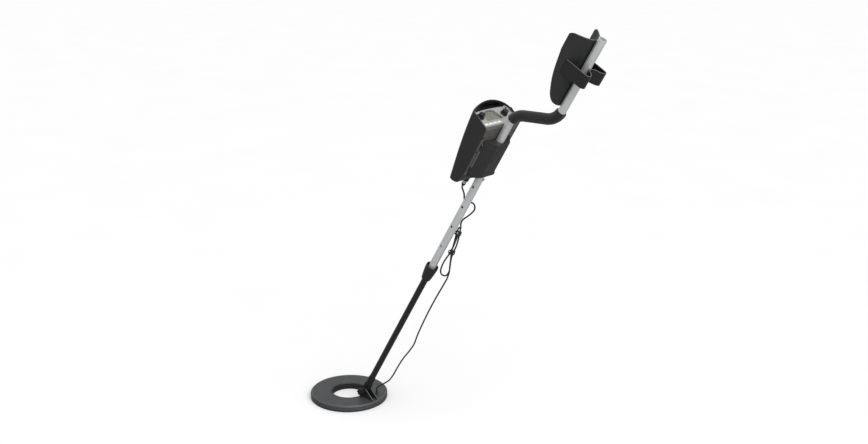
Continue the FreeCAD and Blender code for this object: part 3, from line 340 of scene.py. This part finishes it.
# ---- mesh helpers ----
def piece(name, vertices, faces, finish_name, body=None, smooth=True):
    mesh = bpy.data.meshes.new(name)
    mesh.from_pydata([tuple(v) for v in vertices], [], faces)
    mesh.validate()
    mesh.update()
    if smooth:
        mesh.shade_smooth()
    obj = bpy.data.objects.new(name, mesh)
    bpy.context.scene.collection.objects.link(obj)
    dress(obj, finish_name)
    if body:
        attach(obj, body)
    return obj


def tube_mesh(points, radius_at, sides=20):
    """Vertices and faces of a closed round sweep; radius_at(i, angle) gives each radius in metres."""
    vertices, faces = [], []
    side = ACROSS.copy()
    last = len(points) - 1
    for i, point in enumerate(points):
        tangent = (points[min(i + 1, last)] - points[max(i - 1, 0)]).normalized()
        side = (side - tangent * side.dot(tangent)).normalized()
        other = tangent.cross(side)
        for k in range(sides):
            a = math.tau * k / sides
            vertices.append(point + (side * math.cos(a) + other * math.sin(a)) * radius_at(i, a))
    for i in range(last):
        for k in range(sides):
            a, b = i * sides + k, i * sides + (k + 1) % sides
            faces.append((a, b, b + sides, a + sides))
    faces.append(tuple(range(sides))[::-1])
    faces.append(tuple(last * sides + k for k in range(sides)))
    return vertices, faces


def smooth_line(points, step):
    """Points every `step` metres along a Catmull-Rom curve through the given points."""
    out = []
    for i in range(len(points) - 1):
        p0, p1, p2 = points[max(i - 1, 0)], points[i], points[i + 1]
        p3 = points[min(i + 2, len(points) - 1)]
        count = max(2, int((p2 - p1).length / step))
        for j in range(count):
            t = j / count
            out.append(0.5 * ((2 * p1) + (p2 - p0) * t + (2 * p0 - 5 * p1 + 4 * p2 - p3) * t ** 2
                              + (3 * p1 - p0 - 3 * p2 + p3) * t ** 3))
    out.append(points[-1])
    return out


# ---- foam grip ----
BEND_R = 50.0
BEND_1, BEND_2 = (945.4, 0.0), (1006.0, -99.5)
FOAM_R = 0.01325


def grip_line():
    """Centre line of the padded double bend, from bend angle 17 to bend angle 5.7 degrees."""
    turn = math.atan2(BEND_1[1] - BEND_2[1], BEND_2[0] - BEND_1[0])
    reach = BEND_R * math.tan(turn / 2)
    c1 = (BEND_1[0] - reach, -BEND_R)
    c2 = (BEND_2[0] + reach, BEND_2[1] + BEND_R)
    line = []
    first, last = math.radians(17.0), math.radians(5.7)
    for j in range(40):
        a = first + (turn - first) * j / 39
        line.append(shaft(c1[0] + BEND_R * math.sin(a), 0, c1[1] + BEND_R * math.cos(a)))
    for j in range(1, 12):
        t = j / 12
        a = (c1[0] + BEND_R * math.sin(turn), c1[1] + BEND_R * math.cos(turn))
        b = (c2[0] - BEND_R * math.sin(turn), c2[1] - BEND_R * math.cos(turn))
        line.append(shaft(a[0] + (b[0] - a[0]) * t, 0, a[1] + (b[1] - a[1]) * t))
    for j in range(40):
        a = turn + (last - turn) * j / 39
        line.append(shaft(c2[0] - BEND_R * math.sin(a), 0, c2[1] - BEND_R * math.cos(a)))
    return line


def foam_sleeve():
    line = smooth_line(grip_line(), 0.0012)
    travelled = [0.0]
    for a, b in zip(line, line[1:]):
        travelled.append(travelled[-1] + (b - a).length)
    total, lip, tube = travelled[-1], 0.0024, 0.0096

    def radius(i, angle):
        inset = min(travelled[i], total - travelled[i])
        edge = 1 - min(1.0, inset / lip)
        rounded = FOAM_R - (FOAM_R - tube) * (1 - math.sqrt(max(0.0, 1 - edge ** 2)))
        p = line[i] * 1000
        lumps = noise.noise(Vector((p.x * 0.11, p.z * 0.11, angle * 1.2))) * 0.00022
        pores = noise.noise(Vector((p.x * 0.9, p.z * 0.9, angle * 9))) * 0.00007
        return max(tube, rounded + (lumps + pores - 0.0002) * (1 - edge))

    vertices, faces = tube_mesh(line, radius, 64)
    sleeve = piece("foam_sleeve", vertices, faces[:-2], "foam", "shaft")
    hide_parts("foam_grip")


foam_sleeve()

# ---- cable ----
UPPER_RUN = [
    (709.6, -1, 31), (705, -1, 30.6), (699, 1.5, 27), (690, 6, 21), (679, 8.5, 16), (670, 12, 11.5),
    (669, 15.5, 7), (674, 17, 2), (678.5, 17.5, -4), (679, 17.5, -11), (675, 17.5, -16),
    (668, 17.5, -18.5), (658, 17, -17), (641.5, 16.5, -11.5), (630, 16.3, -6.5), (620, 17.3, -3.5),
    (608, 21.5, -2.5), (598, 23, -6.5), (583, 21.5, -12.5),
    (556, 18, -22), (530, 15, -25.5), (515, 12, -31), (502, 10, -37.5), (488, 9.5, -43), (474, 9.5, -42.5),
    (465.5, 9.5, -35.5), (464, 9.5, -27), (472, 9.5, -20.5), (493, 10, -17.5), (512, 10.5, -18.5),
    (530, 11, -20), (556, 12, -18.5), (583, 15, -13.2), (596, 15.2, -12.9), (599, 15.9, -11.6),
    (600.3, 16.9, -8.6), (599, 17.9, -5.6), (596, 18.6, -4.3), (583, 19, -5), (556, 19, -12), (530, 19, -18),
    (512, 18, -26), (496, 17, -33.5), (480, 17, -40.5), (462, 17.5, -43.5), (441, 18, -43.5)]
LOWER_RUN = [
    (386, 19, -42), (326.5, 20, -42.5), (261, 21, -46), (223, 22, -50), (191, 23, -47),
    (155, 24, -41.5), (121, 25, -39.5), (90, 25.5, -39)]
COIL_RUN = [(90, 25.5, -39), (64, 26.5, -35.5), (38, 28.5, -25.5), (14, 31, -14.5), (0.5, 33.2, -11.2)]
CABLE_R = 0.002
GLAND = (0.0738, 0.0335)


def jacket(i, angle):
    """Cable radius, a little uneven as soft rubber is."""
    return CABLE_R * (1 + 0.012 * math.sin(i * 0.7 + angle))


def cable_pieces():
    high = smooth_line([shaft(*p) for p in UPPER_RUN + LOWER_RUN], 0.0012)
    main = piece("cable_main", *tube_mesh(high, jacket, 16), "rubber")
    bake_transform(main)
    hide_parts("cable_upper_run", "cable_lower_run")

    foot = [shaft(*p) for p in COIL_RUN]
    foot += [Vector((*GLAND, COIL_TOP + 0.009)), Vector((*GLAND, COIL_TOP + 0.003))]
    low = smooth_line(foot, 0.0012)
    end = piece("cable_foot", *tube_mesh(low, jacket, 16), "rubber")
    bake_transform(end)
    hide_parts("cable_coil_end")


cable_pieces()


# ---- springs behind the two snap buttons ----
def leaf_spring(name, node, x, place, foot, back):
    """Bent leaf that gives as its button goes in; place(s, h) is a point h towards the button's tip."""
    half_width, half_thick = 0.0025, 0.0003
    top = foot - 1.25
    path = [(4.5, top - 0.4), (-5, top - 0.8), (-17, top - 3.0), (-21, -1.0), (-17, 2.4 - back),
            (-5, 1.6 - back), (4.5, 1.4 - back)]
    line = smooth_line([place(x + dx, h) for dx, h in path], 0.0008)
    side = ALONG.cross((place(x, 1) - place(x, 0)).normalized())
    vertices, faces = [], []
    last = len(line) - 1
    for i, point in enumerate(line):
        tangent = (line[min(i + 1, last)] - line[max(i - 1, 0)]).normalized()
        thick = tangent.cross(side) * half_thick
        wide = side * half_width
        vertices += [point + wide + thick, point - wide + thick, point - wide - thick, point + wide - thick]
    for i in range(last):
        for k in range(4):
            a, b = i * 4 + k, i * 4 + (k + 1) % 4
            faces.append((a, b, b + 4, a + 4))
    faces += [(3, 2, 1, 0), tuple(last * 4 + k for k in range(4))]
    spring = piece(name, vertices, faces, "steel", smooth=False)
    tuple(place(x, 1.9))
    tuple(place(x, -3.2))
    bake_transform(spring)
    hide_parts(node)


leaf_spring("rod_leaf", "rod_button_spring", ROD_BUTTON_S,
            lambda s, h: shaft(s, -h, 0), 4.1, ROD_BORE_R)
leaf_spring("mid_leaf", "mid_button_spring", MID_BUTTON_S,
            lambda s, h: shaft(s, 0, -h), 4.6, SPIGOT_BORE_R)


# ---- small raised details ----
def ribs_round(name, finish_name, body, centre, axis, radius, rib, length, count, offset=0.0):
    """Grip ribs set round an axis; each one is a low rounded bar of its own."""
    first = (ACROSS if abs(axis.y) < 0.9 else Vector((1, 0, 0))).cross(axis).normalized()
    second = axis.cross(first)
    vertices, faces = [], []
    for k in range(count):
        a = math.tau * (k + offset) / count
        out = first * math.cos(a) + second * math.sin(a)
        side = axis.cross(out)
        ring_start = len(vertices)
        for t, tall in ((-0.5, 0.25), (-0.42, 1.0), (0.42, 1.0), (0.5, 0.25)):
            here = centre + axis * (t * length)
            for j in range(7):
                b = math.pi * j / 6
                taper = radius(t) if callable(radius) else radius
                lift = taper - rib * 0.3 + rib * tall * math.sin(b)
                vertices.append(here + out * lift + side * rib * 1.1 * math.cos(b))
        for r in range(3):
            for j in range(6):
                v = ring_start + r * 7 + j
                faces.append((v, v + 1, v + 8, v + 7))
        faces.append(tuple(ring_start + j for j in range(7))[::-1])
        faces.append(tuple(ring_start + 21 + j for j in range(7)))
    return piece(name, vertices, faces, finish_name, body)


def bead(name, finish_name, body, points, radius, closed=False, sides=10):
    """Thin round bead along a line."""
    line = smooth_line(points + points[:1] if closed else points, 0.0015)
    return piece(name, *tube_mesh(line, lambda i, a: radius, sides), finish_name, body)


def circle_points(centre, radius, count=96, first=Vector((1, 0, 0)), second=Vector((0, 1, 0))):
    return [centre + (first * math.cos(math.tau * k / count) + second * math.sin(math.tau * k / count))
            * radius for k in range(count)]


RIB_LENGTH, RIB_CENTRE = 32.0, 447.5


def collar_radius(t):
    """Outer radius of the locking collar at t from -0.5 to 0.5 of the ribbed length."""
    s = RIB_CENTRE + t * RIB_LENGTH
    return (11.6 + (s - 426) * 0.15 if s < 446 else 14.6 + (s - 446) * 0.076) * 0.001


ribs_round("collar_ribs", "black", "collar", shaft(RIB_CENTRE, 0, 0), ALONG, collar_radius, 0.0005,
           RIB_LENGTH * 0.001, 24)
COIL_RIM_R, COIL_HOLE_RIM_R, RIM_BEAD_R = 0.1018, 0.0500, 0.0006
# painted highlight: a light bead just inside the coil's top rim
bead("coil_rim_highlight", "edge", "coil", circle_points(Vector((0, 0, COIL_TOP - 0.0002)), COIL_RIM_R),
     RIM_BEAD_R, True)
bead("coil_hole_bead", "coil", "coil", circle_points(Vector((0, 0, COIL_TOP - 0.0001)), COIL_HOLE_RIM_R),
     RIM_BEAD_R, True)
# painted highlight: light beads along the ears' sloping edges and the hood mouth's sides
for side, name in ((-1, "near"), (1, "far")):
    apex, tip = Vector((0.0713, side * 0.0085, 0.0453)), Vector((0.1015, side * 0.0085, 0.0182))
    bead(name + "_ear_highlight", "edge", "coil", [apex, tip], 0.0006)
    mouth = [shaft(s, side * 64.3, n)
             for s, n in ((909.5, 17.5), (913.2, 31.0), (916.5, 42.0), (916.7, 50.0))]
    bead(name + "_mouth_highlight", "edge", "shaft", mouth, 0.0005)


def cuff_rim_highlight():
    """Painted highlight: a light bead along the cuff's upper end."""
    points = []
    for k in range(-10, 11):
        y = 43.0 * k / 10
        points.append(shaft(1209.3, y, -87.75 + 39.0 * (abs(y) / 49.0) ** 1.9))
    bead("cuff_rim_highlight", "edge", "shaft", points, 0.0010)


def bracket_rim_highlight():
    """Painted highlight: a light bead along the rear edge of the stand bracket."""
    half = [(37.0, -67.5), (37.0, -95), (37.0, -120), (34.6, -127.7), (29.0, -130), (18.0, -124.5),
            (9.0, -113.0), (0.0, -110.6)]
    points = [shaft(1150, -y, n) for y, n in half] + [shaft(1150, y, n) for y, n in half[-2::-1]]
    bead("bracket_rim_highlight", "edge", "shaft", points, 0.0007)


def hood_painted_shade():
    """Glossy black sheet of painted shade over the inner face of the hood, from the panel out to the lip."""
    outline = []
    wall, side, rise, corner = 62.0, 63.0, 10.9, 10.0
    for k in range(9):
        outline.append((wall, 22 + (side - corner - 22) * k / 8))
    for k in range(1, 7):
        a = math.radians(13 * k)
        outline.append((wall - corner * (1 - math.cos(a)), side - corner + 11.6 * math.sin(a)))
    y0, n0 = outline[-1]
    for k in range(1, 21):
        y = y0 * (1 - k / 20)
        outline.append((y, n0 + (side + rise - n0) * (1 - (y / y0) ** 2)))
    outline += [(-y, n) for y, n in outline[-2::-1]]
    vertices, faces = [], []
    for y, n in outline:
        inner = PANEL_FOOT[0] + (n - PANEL_FOOT[1]) * math.tan(PANEL_TILT) + 0.3
        lip = 929 - 19 * (y / 80) ** 2 - 0.8
        if n < 62:
            lip = min(lip, 908.7 + (n - 15.4) * 0.297 - 0.6)
        for t in (0.0, 0.5, 1.0):
            s = inner + max(0.2, lip - inner) * t
            vertices.append(shaft(s, y * (1 + (s - 908) * 0.0005), n))
    for k in range(len(outline) - 1):
        for j in (0, 1):
            v = k * 3 + j
            faces.append((v, v + 1, v + 4, v + 3))
    shade_sheet = piece("hood_painted_shade", vertices, faces, "gloss", "shaft")
    skin = shade_sheet.modifiers.new("skin", "SOLIDIFY")
    skin.thickness = 0.0002


cuff_rim_highlight()
bracket_rim_highlight()
hood_painted_shade()
for k, (s, radius) in enumerate(((711.0, 3.5), (713.2, 4.3), (715.4, 4.9))):
    bead(f"boot_rib_{k + 1}", "rubber", "shaft",
         circle_points(shaft(s, -1, 31), radius * 0.001, 40, ACROSS, OUT), 0.0005, True)
bead("cover_ring", "cover", "battery_cover",
     circle_points(shaft(822, 0, -13.95), 0.012, 60, ALONG, ACROSS), 0.0005, True)
for k in range(3):
    bead(f"latch_rib_{k + 1}", "black", "battery_latch",
         [shaft(754.5 + 2.4 * k, 38, -3.0), shaft(754.5 + 2.4 * k, 46.5, -3.0)], 0.0005)


# ---- printed and moulded marks on the panel ----
def plate(name, finish_name, body, outlines, place, height):
    """Flat raised marks: each outline in the panel's own x and y, lifted by height."""
    vertices, faces = [], []
    for outline, z in outlines:
        start, count = len(vertices), len(outline)
        vertices += [place(x, y, z) for x, y in outline] + [place(x, y, z + height) for x, y in outline]
        faces.append(tuple(start + count + k for k in range(count)))
        faces.append(tuple(start + k for k in range(count))[::-1])
        for k in range(count):
            j = (k + 1) % count
            faces.append((start + k, start + j, start + count + j, start + count + k))
    return piece(name, vertices, faces, finish_name, body, smooth=False)


def bar(x0, y0, x1, y1, width):
    d = Vector((x1 - x0, y1 - y0)).normalized() * width / 2
    return [(x0 - d.y, y0 + d.x), (x0 + d.y, y0 - d.x), (x1 + d.y, y1 - d.x), (x1 - d.y, y1 + d.x)]


def dial_marks(centre, radius):
    marks = []
    for k in range(11):
        a = math.radians(240 - 30 * k)
        inner, outer = radius, radius + (2.4 if k % 5 == 0 else 1.5)
        marks.append((bar(centre[0] + inner * math.cos(a), centre[1] + inner * math.sin(a),
                          centre[0] + outer * math.cos(a), centre[1] + outer * math.sin(a), 0.6), 0.02))
    return marks


SEGMENTS = {"a": (0, 2, 1, 2), "b": (1, 2, 1, 1), "c": (1, 1, 1, 0), "d": (0, 0, 1, 0), "e": (0, 1, 0, 0),
            "f": (0, 2, 0, 1), "g": (0, 1, 1, 1)}


def digit(x, y, size, lit):
    out = []
    for key in lit:
        x0, y0, x1, y1 = SEGMENTS[key]
        a = Vector((x + x0 * size, y + y0 * size))
        b = Vector((x + x1 * size, y + y1 * size))
        d = (b - a).normalized() * 0.45
        out.append(bar(a.x + d.x, a.y + d.y, b.x - d.x, b.y - d.y, 0.75))
    return out


def panel_marks():
    legend = dial_marks(LEFT_DIAL, DIAL_R) + dial_marks(RIGHT_DIAL, DIAL_R)
    for x in BUTTON_X:
        legend.append((bar(x - 4, 1.1, x + 4, 1.1, 0.6), 0.02))
    plate("panel_legend", "ink", "shaft", legend, panel, 0.06)

    glass = -4.19
    lit = [(shape, glass) for shape in digit(-19.5, 22, 4.8, "abged") + digit(-11.5, 22, 4.8, "abcdef")]
    for k in range(13):
        a = math.radians(158 - 11.3 * k)
        r0, r1 = 15.5, 18.0 if k not in (4, 5, 6) else 20.0
        lit.append((bar(-12 + r0 * 1.25 * math.cos(a), 20 + r0 * 1.1 * math.sin(a),
                        -12 + r1 * 1.25 * math.cos(a), 20 + r1 * 1.1 * math.sin(a), 1.5), glass))
    lit += [(bar(-37 + 3.4 * k, 17.5, -34.6 + 3.4 * k, 17.5, 1.6), glass) for k in range(4)]
    lit += [(bar(2 + 3.4 * k, 17.5, 4.4 + 3.4 * k, 17.5, 1.6), glass) for k in range(4)]
    plate("display_segments", "ink", "shaft", lit, panel, 0.05)


def panel_top_painted_shade():
    """Glossy black sheet of painted shade along the top of the panel, under the hood."""
    rows = [54.0 * k / 16 for k in range(-16, 17)]
    top = [(x, (73.4 - 9.8 * (x / 52.3) ** 2 - 15.7) / 0.99) for x in rows]
    foot = [(x, 48.0 - 2.2 * (x / 54.0) ** 2) for x in rows]
    plate("panel_top_painted_shade", "gloss", "shaft", [(top + foot[::-1], 0.02)], panel, 0.7)


panel_marks()
panel_top_painted_shade()


# ---- floor, light, camera ----
def floor_finish():
    """Pale floor that the camera sees nearly white, and that throws less light up at the object."""
    g = Graph("floor_pale")
    ray = g.add("LightPath").outputs["Is Camera Ray"]
    pale = g.mix(g.spread(g.noise(3.0), 0, 1), (0.955, 0.955, 0.955, 1), (0.97, 0.97, 0.97, 1))
    g.link(g.mix(ray, (0.34, 0.34, 0.34, 1), pale), g.bsdf.inputs["Base Color"])
    g.bsdf.inputs["Roughness"].default_value = 0.9
    g.bsdf.inputs["Specular IOR Level"].default_value = 0.05
    return g.material


def floor():
    size = 60.0
    FINISH["floor"] = floor_finish()
    corners = [(-size, -size, 0), (size, -size, 0), (size, size, 0), (-size, size, 0)]
    piece("floor", corners, [(0, 1, 2, 3)], "floor", smooth=False)


def area_light(name, place, target, size, power):
    data = bpy.data.lights.new(name, "AREA")
    data.shape = "DISK"
    data.size = size
    data.energy = power
    lamp = bpy.data.objects.new(name, data)
    bpy.context.scene.collection.objects.link(lamp)
    lamp.location = place
    lamp.rotation_euler = (Vector(target) - Vector(place)).to_track_quat("-Z", "Y").to_euler()


WORLD_LIGHT, SUN_LIGHT = 0.52, 2.1


def light():
    world = bpy.data.worlds.new("studio")
    bpy.context.scene.world = world
    world.use_nodes = True
    back = world.node_tree.nodes["Background"]
    back.inputs["Color"].default_value = (1, 1, 1, 1)
    back.inputs["Strength"].default_value = WORLD_LIGHT
    sun = bpy.data.lights.new("sun", "SUN")
    sun.energy = SUN_LIGHT
    sun.angle = math.radians(50)
    lamp = bpy.data.objects.new("sun", sun)
    bpy.context.scene.collection.objects.link(lamp)
    lamp.rotation_euler = Vector((-0.75, 0.35, -1.0)).to_track_quat("-Z", "Y").to_euler()
    area_light("side", (2.4, -0.9, 0.9), (0.4, 0, 0.6), 0.8, 6)


CAMERA_PLACE = (2.0134, -1.9990, 1.3256)
CAMERA_FORWARD = (-0.6244, 0.7295, -0.2794)
CAMERA_RIGHT = (0.7579, 0.6523, 0.0093)
CAMERA_LENS = 46.28          # millimetres, on a sensor 36 mm wide


def camera():
    data = bpy.data.cameras.new("camera")
    data.sensor_width = 36.0
    data.lens = CAMERA_LENS
    data.clip_end = 200
    cam = bpy.data.objects.new("camera", data)
    bpy.context.scene.collection.objects.link(cam)
    forward = Vector(CAMERA_FORWARD).normalized()
    right = Vector(CAMERA_RIGHT)
    right = (right - forward * right.dot(forward)).normalized()
    up = right.cross(forward)
    turn = Matrix((right, up, -forward)).transposed().to_4x4()
    cam.matrix_world = Matrix.Translation(CAMERA_PLACE) @ turn
    bpy.context.scene.camera = cam


floor()
light()
camera()
bpy.context.scene.view_settings.view_transform = "Standard"
